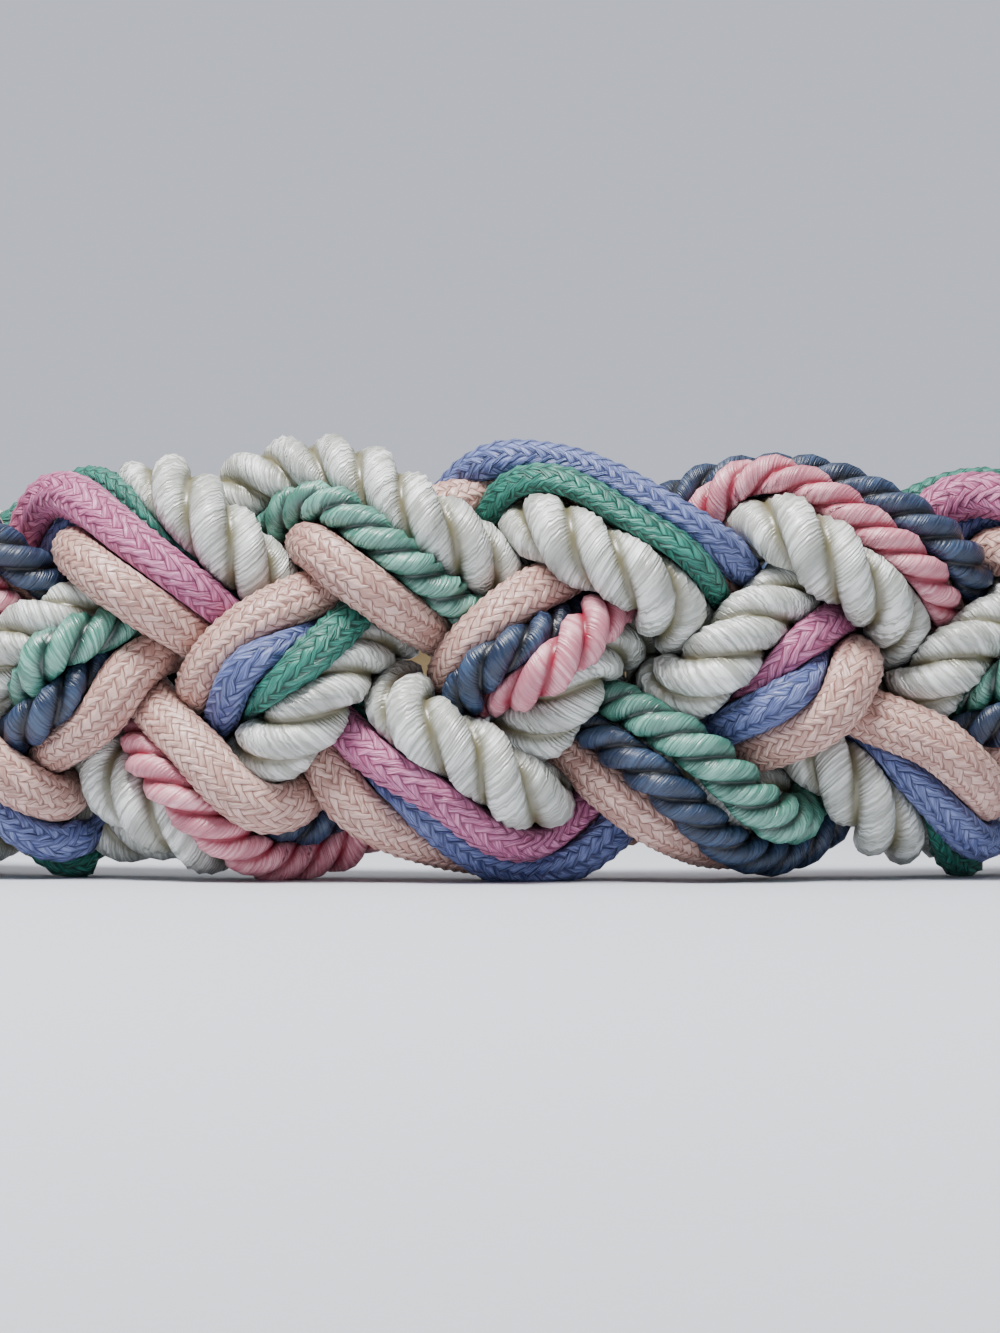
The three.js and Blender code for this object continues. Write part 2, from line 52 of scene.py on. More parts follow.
SOCKET_DEPTH = 20
SOCKET_CLEARANCE = 0.4
TAPER_LENGTH = 26

DIAMETERS = {
    "white_rope": 8.8, "peach_braid": 6.6, "mint_twist": 6.2, "rose_twist": 6.0,
    "slate_twist": 5.8, "pink_braid": 5.8, "blue_braid": 5.4, "green_braid": 5.0,
}

# How the braid lies, in shares of those sizes
TURN_HEIGHT = 0.337
TURN_ROUNDNESS = 0.93
MIDDLE_SAG = 0.031
BUNDLE_WIDTH = 0.343
MIDDLE_SPREAD = 0.14
LOWER_SQUEEZE = 0.049
CROSSING_REACH = 0.8
LOWER_REACH = 1.2
DEEP_NARROWING = 0.75
DEEP_GATHERING = 0.3
MOST_DEPTH = 1.3
LEAST_SHARE = 0.1
SURFACE_HEIGHT = 0.469
DEPTH_STEP = 0.173
TUCK_STEP = 0.192
MIDDLE_TUCK = 0.15
OVAL_MARGIN = 0.04
LEAST_HEIGHT = 0.02
CROSS_SOFTNESS = 0.84
INNER_SOFTNESS = 0.72
TOGETHER = 0.9
CROSS_CLOSENESS = 0.7
CROSS_LIFT = 0.3
CROSS_ORDER = 0.15

# Places of the eight stations along a repeat
STATIONS = 8
UPPER_TURN, FRONT_UPPER, BACK_MIDDLE, FRONT_LOWER = -1, 0, 1, 2
LOWER_TURN, BACK_LOWER, FRONT_MIDDLE, BACK_UPPER = 3, 4, 5, 6

# How the cords settle
NODES = 72
SETTLING_ROUNDS = 400
CLEARING_ROUNDS = 100
PAIRING_ROUNDS = 12
PAIRING_REACH = 0.04
PUSH_STRENGTH = 1.4
TOGETHER_STRENGTH = 0.2
STRAIGHTENING = 0.4
AIM_PULL = 0.06
LEAST_PULL = 0.3
SETTLING = {"firmness": 0.3, "passes": 3}
CLEARING = {"firmness": 0.05, "passes": 1}
FIRST_CROSSING = -1.35
TINY = 1e-6

# Each strand's cords from its upper side down, with their depths at the eight stations of a repeat:
# upper turn, front upper, back middle, front lower, lower turn, back lower, front middle, back upper
STRANDS = {
    "strand_pink": [
        ("white_rope", [1.3, 0.1, 0, 0.3, 0, 1, 1.2, 0]),
        ("green_braid", [0.8, 0.9, 1, 1, 1, 1, 1.8, 1]),
        ("pink_braid", [0, -0.1, 0, -0.3, 0, 0, -0.7, 0]),
        ("blue_braid", [1, 1, 0, 0.3, 0, 0, -0.6, 0]),
        ("peach_braid", [0, 0, 1, 0.2, 1.2, 0, 0.7, 1]),
    ],
    "strand_mint": [
        ("white_rope", [0, 0, 0, 1.6, 0, 1, 1.5, 0]),
        ("mint_twist", [0, 0, 0, -0.1, 0, 0, -0.8, 0]),
        ("slate_twist", [1, 1.2, 0, -0.1, 0, 0, -0.5, 0]),
        ("peach_braid", [0, 0, 1, 0.3, 1.2, 0, 0.6, 1]),
    ],
    "strand_green": [
        ("peach_braid", [1.2, 1.5, 1.3, 0, 0, 0, 0.8, 1]),
        ("blue_braid", [0, 0, 0, -0.1, 0, 0, -0.9, 0]),
        ("green_braid", [0, -0.2, 0, 1.4, 0.9, 0, -0.7, 0]),
        ("white_rope", [0, 0.1, 0, 0.2, 1.5, 1, 1.3, 0]),
    ],
    "strand_slate": [
        ("peach_braid", [1, 1.5, 1.3, 0, 0, 0, 0.7, 1]),
        ("slate_twist", [0.5, 0.6, 0.3, 1, 1, 0, -0.6, 0]),
        ("rose_twist", [0, -0.1, 0, -0.1, 0, 0, -0.9, 0]),
        ("white_rope", [0, 0.1, 0, 1.2, 1.5, 1, 1.4, 0]),
    ],
}
STEP = REPEAT_LENGTH / len(STRANDS)
HALF_WIDTH = BELT_WIDTH / 2
HALF_THICKNESS = BELT_THICKNESS / 2

CORD_NAMES = [(strand, cord) for strand, cords in STRANDS.items() for cord, _ in cords]
RADII = np.array([DIAMETERS[cord] / 2 for _, cord in CORD_NAMES])
STRAND_OF = np.array([list(STRANDS).index(strand) for strand, _ in CORD_NAMES])


# The settling of the cords

def bump(place, middle, reach):
    return np.exp(-(((place - middle) / reach) ** 2))


def depth_along(depths, t):
    first = np.clip(np.floor(t - UPPER_TURN).astype(int), 0, STATIONS - 1)
    share = t - UPPER_TURN - first
    share = share * share * (3 - 2 * share)
    closed = np.array(list(depths) + [depths[0]], float)
    return closed[first] * (1 - share) + closed[first + 1] * share


def over_and_under(t):
    """Height of a strand along its repeat: 1 in front, -1 behind, 0 at the turns"""
    quarter = math.pi / 2
    height = np.select(
        [t <= FRONT_UPPER, t <= FRONT_LOWER, t <= BACK_LOWER, t <= BACK_UPPER],
        [-np.cos(quarter * (t + 2)), np.cos(math.pi * t), np.cos(quarter * (t - 2)), -np.cos(math.pi * t)],
        -np.cos(quarter * (t - BACK_UPPER)))
    height = height + MIDDLE_TUCK * (bump(t, FRONT_MIDDLE, CROSSING_REACH)
                                     - bump(t, BACK_MIDDLE, CROSSING_REACH))
    return np.clip(height, -1, 1)


def lay_cords():
    """Where the cords of one repeat should lie: x along the belt, y up, z out of its front"""
    t = STATIONS * np.arange(NODES) / NODES + UPPER_TURN
    phase = 2 * math.pi * (t - UPPER_TURN) / STATIONS
    lean = TURN_ROUNDNESS * np.cos(phase)
    reach = TURN_HEIGHT * BELT_WIDTH / math.asin(TURN_ROUNDNESS)
    y = reach * np.arcsin(lean) - MIDDLE_SAG * BELT_WIDTH * np.sin(phase) ** 2
    rise = -reach * TURN_ROUNDNESS * np.sin(phase) * 2 * math.pi / STATIONS / np.sqrt(1 - lean ** 2)
    run = STEP / 2
    slant = np.hypot(run, rise)
    wave = over_and_under(t)
    turn = (np.maximum(0, 1 - abs(t - UPPER_TURN)) + np.maximum(0, 1 - abs(t - LOWER_TURN))
            + np.maximum(0, t - BACK_UPPER))
    width = BELT_WIDTH * (BUNDLE_WIDTH + MIDDLE_SPREAD * bump(t, FRONT_MIDDLE, CROSSING_REACH)
                          - LOWER_SQUEEZE * bump(t, FRONT_LOWER, LOWER_REACH))
    laid = []
    for number, cords in enumerate(STRANDS.values()):
        start = (number + FIRST_CROSSING) * STEP
        sizes = np.array([DIAMETERS[cord] for cord, _ in cords])[:, None]
        depths = np.array([depth_along(depth, t) for _, depth in cords])
        shares = sizes * np.maximum(LEAST_SHARE, 1 - DEEP_NARROWING * depths)
        total = shares.sum(0)
        centre = (total / 2 - (np.cumsum(shares, 0) - shares / 2)) / total
        offset = centre * width * (1 - DEEP_GATHERING * np.clip(depths, 0, MOST_DEPTH))
        cord_x = start + t * run - offset * rise / slant
        cord_y = y + offset * run / slant
        edge = HALF_WIDTH + OVAL_MARGIN * BELT_WIDTH
        oval = np.sqrt(np.clip(1 - (cord_y / edge) ** 2, LEAST_SHARE, 1))
        height = SURFACE_HEIGHT * BELT_THICKNESS * oval - sizes / 2 - depths * DEPTH_STEP * BELT_THICKNESS
        tuck = turn * depths * TUCK_STEP * BELT_THICKNESS
        cord_z = wave * np.maximum(height, LEAST_HEIGHT * BELT_THICKNESS) - tuck
        laid.append(np.stack([cord_x, cord_y, cord_z], 2))
    return np.concatenate(laid), wave


def touching_pairs(points):
    """Points of two cords that are near each other, and how far apart they belong"""
    flat = points.reshape(-1, 3)
    cord = np.repeat(np.arange(len(points)), NODES)
    same = STRAND_OF[:, None] == STRAND_OF[None, :]
    apart = np.where(same, INNER_SOFTNESS, CROSS_SOFTNESS) * (RADII[:, None] + RADII[None, :])
    dx = flat[:, None, 0] - flat[None, :, 0]
    dx -= REPEAT_LENGTH * np.round(dx / REPEAT_LENGTH)
    near = dx ** 2 + (flat[:, None, 1] - flat[None, :, 1]) ** 2 + (flat[:, None, 2] - flat[None, :, 2]) ** 2
    limit = apart[cord[:, None], cord[None, :]] + PAIRING_REACH * BELT_WIDTH
    first, second = np.nonzero((cord[:, None] < cord[None, :]) & (near < limit ** 2))
    return first, second, apart[cord[first], cord[second]], ~same[cord[first], cord[second]]


def push_apart(points, pairs, wave):
    first, second, apart, crossing = pairs
    flat = points.reshape(-1, 3)
    gap = flat[first] - flat[second]
    gap[:, 0] -= REPEAT_LENGTH * np.round(gap[:, 0] / REPEAT_LENGTH)
    order = wave[first % NODES] - wave[second % NODES]
    lift = crossing & (abs(order) > CROSS_ORDER) & (np.hypot(gap[:, 0], gap[:, 1]) < CROSS_CLOSENESS * apart)
    front = np.sign(order)
    gap[:, 2] = np.where(lift, front * np.maximum(front * gap[:, 2], CROSS_LIFT * apart), gap[:, 2])
    distance = np.maximum(np.linalg.norm(gap, axis=1), TINY)
    hit = distance < apart
    push = (0.5 * (apart - distance) / distance)[hit, None] * gap[hit]
    total = np.zeros_like(flat)
    count = np.zeros(len(flat))
    np.add.at(total, first[hit], push)
    np.add.at(total, second[hit], -push)
    np.add.at(count, first[hit], 1)
    np.add.at(count, second[hit], 1)
    return points + (PUSH_STRENGTH * total / np.maximum(count, 1)[:, None]).reshape(points.shape)


def hold_together(points):
    for one in range(len(points) - 1):
        if STRAND_OF[one] != STRAND_OF[one + 1]:
            continue
        gap = points[one + 1] - points[one]
        distance = np.linalg.norm(gap, axis=1, keepdims=True)
        over = np.maximum(distance - TOGETHER * (RADII[one] + RADII[one + 1]), 0)
        pull = TOGETHER_STRENGTH * over / distance * gap
        points[one] += pull
        points[one + 1] -= pull


def hold_in(points, firmness):
    half_y = HALF_WIDTH - RADII[:, None]
    half_z = HALF_THICKNESS - RADII[:, None]
    outside = np.maximum(np.hypot(points[..., 1] / half_y, points[..., 2] / half_z), 1)
    points[..., 1:] *= (1 + (1 / outside - 1) * firmness)[..., None]


def straighten(points):
    ahead = np.roll(points, -1, axis=1)
    ahead[:, -1, 0] += REPEAT_LENGTH
    behind = np.roll(points, 1, axis=1)
    behind[:, 0, 0] -= REPEAT_LENGTH
    bend = 0.5 * (ahead + behind) - points
    points -= STRAIGHTENING * (0.5 * (np.roll(bend, -1, axis=1) + np.roll(bend, 1, axis=1)) - bend)


def settle_cords():
    points, wave = lay_cords()
    aim = points.copy()
    for number in range(SETTLING_ROUNDS + CLEARING_ROUNDS):
        stage = SETTLING if number < SETTLING_ROUNDS else CLEARING
        if number % PAIRING_ROUNDS == 0:
            pairs = touching_pairs(points)
        points = push_apart(points, pairs, wave)
        hold_together(points)
        hold_in(points, stage["firmness"])
        for _ in range(stage["passes"]):
            straighten(points)
        slack = max(1 - number / SETTLING_ROUNDS, LEAST_PULL) if stage is SETTLING else 0
        points += slack * AIM_PULL * (aim - points)
    return points


# Smooth routes through the settled points, and how far neighbours let each cord swell

ROUTE_POINTS = 288
PRESS_ANGLES = 48
PRESS_REACH = 1.5           # neighbours further off than this do not press
PRESS_GAP = 0.05            # half of the gap between pressed cords
PRESS_ROUNDING = 0.5        # how softly a pressed side turns into a free one
MOST_SWELLING = 2           # a cord's side is never more than this share of its radius out
LEAST_PRESSED = 0.3         # nor less than this share
LEAST_FACING = 1e-3


def draw_routes(points):
    trend = REPEAT_LENGTH * np.arange(NODES) / NODES
    wavy = points.copy()
    wavy[..., 0] -= trend
    smooth = np.fft.irfft(np.fft.rfft(wavy, axis=1), ROUTE_POINTS, axis=1) * ROUTE_POINTS / NODES
    smooth[..., 0] += REPEAT_LENGTH * np.arange(ROUTE_POINTS) / ROUTE_POINTS
    routes = []
    for centre in smooth:
        closed = np.vstack([centre, centre[0] + [REPEAT_LENGTH, 0, 0]])
        behind = np.vstack([centre[-1] - [REPEAT_LENGTH, 0, 0], centre[:-1]])
        along = closed[1:] - behind
        along /= np.linalg.norm(along, axis=1, keepdims=True)
        across = np.cross([0, 0, 1], along)
        across /= np.linalg.norm(across, axis=1, keepdims=True)
        out = np.cross(along, across)
        lengths = np.concatenate([[0], np.cumsum(np.linalg.norm(np.diff(closed, axis=0), axis=1))])
        routes.append({"centre": closed, "across": np.vstack([across, across[0]]),
                       "out": np.vstack([out, out[0]]), "lengths": lengths})
    return routes


def press_cords(routes):
    """For each cord, its distance to the planes that divide it from its neighbours, all round it"""
    angles = 2 * math.pi * np.arange(PRESS_ANGLES) / PRESS_ANGLES
    shifts = np.array([-REPEAT_LENGTH, 0, REPEAT_LENGTH])
    for number, route in enumerate(routes):
        others = [other for other in range(len(routes)) if other != number]
        crowd = np.concatenate([routes[other]["centre"][:-1:2] for other in others])
        sizes = np.concatenate([np.full(ROUTE_POINTS // 2, RADII[other]) for other in others])
        crowd = np.concatenate([crowd + [shift, 0, 0] for shift in shifts])
        sizes = np.tile(sizes, len(shifts))
        own = RADII[number]
        limits = np.full((ROUTE_POINTS // 2, PRESS_ANGLES), MOST_SWELLING * own)
        for row in range(ROUTE_POINTS // 2):
            centre = route["centre"][2 * row]
            gap = crowd - centre
            square = (gap ** 2).sum(1)
            near = square < (own + sizes + PRESS_REACH) ** 2
            facing = (np.cos(angles)[:, None] * route["across"][2 * row]
                      + np.sin(angles)[:, None] * route["out"][2 * row])
            toward = gap[near] @ facing.T
            shared = (square[near] + own ** 2 - sizes[near] ** 2)[:, None]
            reach = shared / (2 * np.maximum(toward, LEAST_FACING))
            limits[row] = np.minimum(limits[row], reach.min(0, initial=MOST_SWELLING * own))
        for axis in (0, 1, 0):
            limits = 0.25 * np.roll(limits, 1, axis) + 0.5 * limits + 0.25 * np.roll(limits, -1, axis)
        limits = np.maximum(limits - PRESS_GAP, LEAST_PRESSED * own)
        limits = np.vstack([limits, limits[:1]])
        route["limits"] = np.hstack([limits, limits[:, :1]])


def route_place(route, distance):
    """Centre and directions of a cord at distances along it, through any number of repeats"""
    repeat_length = route["lengths"][-1]
    repeat = np.floor(distance / repeat_length)
    rest = distance - repeat * repeat_length
    place = {}
    for name in ("centre", "across", "out"):
        place[name] = np.stack([np.interp(rest, route["lengths"], route[name][:, axis])
                                for axis in range(3)], -1)
    place["centre"][..., 0] += repeat * REPEAT_LENGTH
    place["row"] = np.interp(rest, route["lengths"], np.arange(ROUTE_POINTS + 1)) / 2
    return place


def pressed(route, place, angle, radius):
    """The radius that the neighbours leave a cord"""
    column = (angle / (2 * math.pi) % 1) * PRESS_ANGLES
    row = np.minimum(place["row"], ROUTE_POINTS // 2 - TINY)
    low, left = np.floor(row).astype(int), np.floor(column).astype(int)
    up, right = row - low, column - left
    limits = route["limits"]
    limit = ((limits[low, left] * (1 - up) + limits[low + 1, left] * up) * (1 - right)
             + (limits[low, left + 1] * (1 - up) + limits[low + 1, left + 1] * up) * right)
    return 0.5 * (radius + limit - np.sqrt((radius - limit) ** 2 + PRESS_ROUNDING ** 2))


# The waist loop

LOOP_X = WAIST_WIDTH / 2 + HALF_THICKNESS
LOOP_Y = WAIST_DEPTH / 2 + HALF_THICKNESS
LOOP_PARTS = 1440
loop_angles = 2 * math.pi * (np.arange(LOOP_PARTS) + 0.5) / LOOP_PARTS
loop_speeds = np.hypot(LOOP_X * np.cos(loop_angles), LOOP_Y * np.sin(loop_angles))
loop_lengths = np.concatenate([[0], np.cumsum(loop_speeds * 2 * math.pi / LOOP_PARTS)])
LOOP_LENGTH = loop_lengths[-1]
MOUTH = LOOP_LENGTH / 2 - CLASP_LENGTH / 2
BRAID_END = MOUTH + SOCKET_DEPTH - SOCKET_CLEARANCE
SWOLLEN_PROUD = 0.8         # swollen cords stand this far out of the braid's thickness
MOUTH_Y = (HALF_WIDTH - CLASP_WALL - SOCKET_CLEARANCE) / HALF_WIDTH
MOUTH_Z = (CLASP_THICKNESS / 2 - CLASP_WALL - SOCKET_CLEARANCE) / (HALF_THICKNESS + SWOLLEN_PROUD)


def narrow(points):
    """Near the clasp the braid narrows to its socket"""
    share = np.clip((abs(points[..., 0]) - MOUTH + TAPER_LENGTH) / TAPER_LENGTH, 0, 1)
    share = (share * share * (3 - 2 * share))[..., None]
    return points * (1 + (np.array([1, MOUTH_Y, MOUTH_Z]) - 1) * share)


def wrap(points):
    """Flat belt coordinates in millimetres to the standing loop in metres"""
    x, y, z = points[..., 0], points[..., 1], points[..., 2]
    angle = np.interp(x % LOOP_LENGTH, loop_lengths, 2 * math.pi * np.arange(LOOP_PARTS + 1) / LOOP_PARTS)
    normal_x, normal_y = np.sin(angle) / LOOP_X, -np.cos(angle) / LOOP_Y
    size = np.hypot(normal_x, normal_y)
    loop = [LOOP_X * np.sin(angle) + normal_x / size * z, -LOOP_Y * np.cos(angle) + normal_y / size * z,
            np.maximum(y + HALF_WIDTH, 0)]
    return np.stack(loop, -1) / 1000


# Making of the cords

SPAN_REPEATS = 5            # more repeats than half of the loop holds
SPAN_STEP = 0.25


def cord_span(route, radius):
    """Distances along a cord at which it ends inside the clasp"""
    furthest = SPAN_REPEATS * route["lengths"][-1]
    distances = np.arange(-furthest, furthest, SPAN_STEP)
    x = route_place(route, distances)["centre"][:, 0]
    inside = distances[abs(x) < BRAID_END - radius]
    return inside[0], inside[-1]


SEAM_REACH = 1e-7           # in metres


def roll_tube(name, rows, around, shape):
    """A sheet rolled into a tube and closed at its ends. shape gives places and cord coordinates."""
    sheet = bmesh.new()
    sheet.loops.layers.uv.new("cord")
    bmesh.ops.create_grid(sheet, x_segments=rows, y_segments=around, size=0.5, calc_uvs=True)
    mesh = bpy.data.meshes.new(name)
    sheet.to_mesh(mesh)
    sheet.free()
    corners = np.empty(3 * len(mesh.vertices), np.float32)
    mesh.vertices.foreach_get("co", corners)
    corners = corners.reshape(-1, 3)
    row = np.rint((corners[:, 0] + 0.5) * rows)
    column = np.rint((corners[:, 1] + 0.5) * around)
    places, cord_uv = shape(row, column)
    mesh.vertices.foreach_set("co", places.astype(np.float32).ravel())
    owners = np.empty(len(mesh.loops), np.int32)
    mesh.loops.foreach_get("vertex_index", owners)
    mesh.uv_layers["cord"].data.foreach_set("uv", cord_uv[owners].astype(np.float32).ravel())
    tube = bmesh.new()
    tube.from_mesh(mesh)
    tube.verts.ensure_lookup_table()
    seam = [tube.verts[i] for i in np.nonzero((column == 0) | (column == around))[0]]
    bmesh.ops.remove_doubles(tube, verts=seam, dist=SEAM_REACH)
    bmesh.ops.holes_fill(tube, edges=[edge for edge in tube.edges if edge.is_boundary], sides=0)
    bmesh.ops.recalc_face_normals(tube, faces=tube.faces)
    tube.to_mesh(mesh)
    tube.free()
    mesh.polygons.foreach_set("use_smooth", np.ones(len(mesh.polygons), bool))
    piece = bpy.data.objects.new(name, mesh)
    bpy.context.scene.collection.objects.link(piece)
    return piece


def on_cord(route, distance, angle, radius):
    place = route_place(route, distance)
    radius = pressed(route, place, angle, radius)
    spoke = np.cos(angle)[:, None] * place["across"] + np.sin(angle)[:, None] * place["out"]
    return wrap(narrow(place["centre"] + radius[:, None] * spoke))


PLY_SIDES = np.array([0, 0.09, 0.2, 0.35, 0.5, 0.65, 0.8, 0.91])   # places across a ply, 0 in the groove
PLIES = 3
SWELL = {"rope": 1.12, "cord": 1.05}     # free sides of the pressed cords swell this much

# Slow waves that make twists uneven: amount, and millimetres in which the wave turns one radian
LAY_WAVES = [(0.10, 17), (0.06, 7.3)]
PLUMP_WAVES = [(0.02, 11), (0.012, 3.7)]


def twist_cord(name, route, radius, swell, lay_length, hand, row_length, ply_roundness, seed):
    """Three plies twisted round each other. The mesh follows the plies, so the grooves stay sharp."""
    start, end = cord_span(route, radius)
    rows = int((end - start) / row_length)
    around = PLIES * len(PLY_SIDES)
    rng = np.random.default_rng(seed)
    drift = rng.uniform(0, 2 * math.pi, 4)

    def shape(row, column):
        distance = start + (end - start) * row / rows
        ply = np.floor(column / len(PLY_SIDES))
        side = PLY_SIDES[(column % len(PLY_SIDES)).astype(int)]
        share = (ply + side) / PLIES
        uneven = sum(amount * np.sin(distance / turn + start_angle)
                     for (amount, turn), start_angle in zip(LAY_WAVES, drift))
        angle = 2 * math.pi * (share + hand * distance / lay_length) + uneven
        off_middle = (side - 0.5) * 2 * math.pi / PLIES
        centre = 1 - ply_roundness
        profile = centre * np.cos(off_middle) + np.sqrt(ply_roundness ** 2 - (centre * np.sin(off_middle)) ** 2)
        own = drift[2] + 2 * math.pi * ply / PLIES
        plump = 1 + sum(amount * np.sin(distance / turn + start_angle)
                        for (amount, turn), start_angle in zip(PLUMP_WAVES, (own, 2 * own + drift[3])))
        reach = swell * radius * profile * plump
        return on_cord(route, distance, angle, reach), np.stack([share, distance], -1)

    return roll_tube(name, rows, around, shape)


FLOAT_REACH = 0.2           # a float's end reaches this share of a column over its neighbour
FLOAT_FLATNESS = 0.6        # power of the sine across a float
LOW_FLOAT = 0.25            # height of a float where the next one covers it
CREST_SPREAD = 0.12         # how unevenly the floats stand up


def braid_cord(name, route, radius, swell, columns, points, pitch, lean, depth, seed):
    """A round braid: columns of slanted floats, each column leaning against its neighbours"""
    start, end = cord_span(route, radius)
    start += lean * pitch
    end -= lean * pitch
    rows = 2 * int((end - start) / pitch)
    around = columns * points
    rng = np.random.default_rng(seed)
    crests = rng.normal(0, CREST_SPREAD, (rows + 2, columns))

    def shape(row, column):
        whole = column / points
        across = whole % 1
        strip = np.floor(whole).astype(int) % columns
        zigzag = 1 - abs(whole % 2 - 1)
        distance = start + (end - start) * row / rows - lean * pitch * (zigzag - 0.5)
        crest = (row.astype(int) + strip) % 2
        middle = np.sin(math.pi * across) ** FLOAT_FLATNESS
        lifted = middle * (LOW_FLOAT + crest * (1 - LOW_FLOAT + crests[row.astype(int), strip]))
        reach = swell * radius - depth * (1 - lifted)
        side = np.where(across == 0, FLOAT_REACH * (1 - 2 * crest), 0)
        angle = 2 * math.pi * (column / around + side / columns)
        return on_cord(route, distance, angle, reach), np.stack([column / around, distance / pitch], -1)

    return roll_tube(name, rows, around, shape)


# Making of the clasp, a plain sleeve with a rolled rim at each mouth

CLASP_CORNER = 7
CORNER_POINTS = 12
SIDE_POINTS = (0.05, 0.5, 0.95)     # places of the points along a flat side
RIM = [  # distance from the mouth, and how deep below the sleeve's outside, in millimetres
    (SOCKET_DEPTH, CLASP_WALL), (SOCKET_DEPTH / 2, CLASP_WALL), (1.6, CLASP_WALL), (0.9, 1.85),
    (0.35, 1.45), (0.05, 0.85),
    (0.0, 0.4), (0.15, -0.1), (0.5, -0.45), (1.1, -0.65), (1.8, -0.65), (2.4, -0.45), (2.8, -0.1), (3.0, 0.12),
    (3.3, 0.12), (3.5, 0.0), (4.2, 0.0),
]
BODY_PARTS = 12


def clasp_outline(inset):
    """Points round the sleeve, across its width and its thickness"""
    half_y, half_z = HALF_WIDTH - CLASP_CORNER, CLASP_THICKNESS / 2 - CLASP_CORNER
    turns = np.linspace(0, math.pi / 2, CORNER_POINTS)
    centres = np.array([(half_y, half_z), (-half_y, half_z), (-half_y, -half_z), (half_y, -half_z)])
    points = []
    for quarter, centre in enumerate(centres):
        angles = turns + quarter * math.pi / 2
        spokes = (CLASP_CORNER - inset) * np.stack([np.cos(angles), np.sin(angles)], -1)
        arc = centre + spokes
        far = centres[(quarter + 1) % 4] + spokes[-1]
        points += list(arc) + [arc[-1] + share * (far - arc[-1]) for share in SIDE_POINTS]
    return np.array(points)


def make_clasp():
    body = CLASP_LENGTH - 2 * RIM[-1][0]
    stations = list(RIM)
    stations += [(RIM[-1][0] + body * part / BODY_PARTS, 0.0) for part in range(1, BODY_PARTS)]
    stations += [(CLASP_LENGTH - distance, inset) for distance, inset in reversed(RIM)]
    outlines = np.array([clasp_outline(inset) for _, inset in stations])
    along = np.array([distance for distance, _ in stations])
    around = outlines.shape[1]

    def shape(row, column):
        row, turn = row.astype(int), column.astype(int) % around
        flat = np.concatenate([(MOUTH + along[row])[:, None], outlines[row, turn]], 1)
        return wrap(flat), np.stack([column / around, along[row]], -1)

    sleeve = roll_tube("clasp_sleeve", len(stations) - 1, around, shape)
    sleeve.data.materials.append(brushed_brass())
    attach(sleeve, "root")
    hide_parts("clasp")


# Finishes

class Finish:
    """A material that is put together from plain steps"""

    def __init__(self, name):
        self.material = bpy.data.materials.new(name)
        self.material.use_nodes = True
        self.nodes = self.material.node_tree.nodes
        self.links = self.material.node_tree.links
        self.shader = self.nodes["Principled BSDF"]

    def give(self, socket, value):
        if isinstance(value, bpy.types.NodeSocket):
            self.links.new(value, socket)
        else:
            socket.default_value = value

    def calc(self, operation, *values):
        node = self.nodes.new("ShaderNodeMath")
        node.operation = operation
        for socket, value in zip(node.inputs, values):
            self.give(socket, value)
        return node.outputs[0]

    def join(self, x, y):
        node = self.nodes.new("ShaderNodeCombineXYZ")
        self.give(node.inputs[0], x)
        self.give(node.inputs[1], y)
        return node.outputs[0]

    def blend(self, share, first, second):
        node = self.nodes.new("ShaderNodeMix")
        node.data_type = "RGBA"
        self.give(node.inputs[0], share)
        self.give(node.inputs[6], first)
        self.give(node.inputs[7], second)
        return node.outputs[2]

    def fade(self, value, low, high):
        """0 below low, 1 above high, and smooth between"""
        node = self.nodes.new("ShaderNodeMapRange")
        node.interpolation_type = "SMOOTHSTEP"
        self.give(node.inputs[0], value)
        self.give(node.inputs[1], low)
        self.give(node.inputs[2], high)
        return node.outputs[0]

    def noise(self, vector, scale=1.0, detail=2.0):
        node = self.nodes.new("ShaderNodeTexNoise")
        self.give(node.inputs["Vector"], vector)
        node.inputs["Scale"].default_value = scale
        node.inputs["Detail"].default_value = detail
        return node.outputs[0]

    def cord_coordinates(self):
        node = self.nodes.new("ShaderNodeUVMap")
        node.uv_map = "cord"
        parts = self.nodes.new("ShaderNodeSeparateXYZ")
        self.links.new(node.outputs[0], parts.inputs[0])
        return parts.outputs[0], parts.outputs[1]

    def relief(self, height, distance):
        node = self.nodes.new("ShaderNodeBump")
        node.inputs["Distance"].default_value = distance
        self.links.new(height, node.inputs["Height"])
        self.links.new(node.outputs[0], self.shader.inputs["Normal"])

    def set(self, **values):
        for name, value in values.items():
            self.give(self.shader.inputs[name.replace("_", " ")], value)


WORN_SHADE = 0.85           # how much of a thread's colour its duller places keep


def shade(colour, factor):
    return tuple(factor * part for part in colour[:3]) + (1.0,)


# Threads of the satin twists, in shares of a ply or of the noise that colours them
PLY_STEP = 7.3                              # sets the plies apart in the noise
THREAD_CHANGE = 0.9                         # how much a thread changes across its ply
PATCH_RATE = 0.35                           # duller patches in a millimetre
EVEN_RIDGES, UNEVEN_RIDGES = 0.12, 2.0      # heights of the threads
RIDGES_SINK = 0.75                          # from here to the groove the threads flatten
DULL_THREAD, BRIGHT_THREAD = 0.38, 0.62
DULL_PATCH, BRIGHT_PATCH = 0.3, 0.6
ROUGHNESS_SPREAD = 0.2
SATIN_GLOSS = {"IOR": 1.6, "Anisotropic": 0.7}


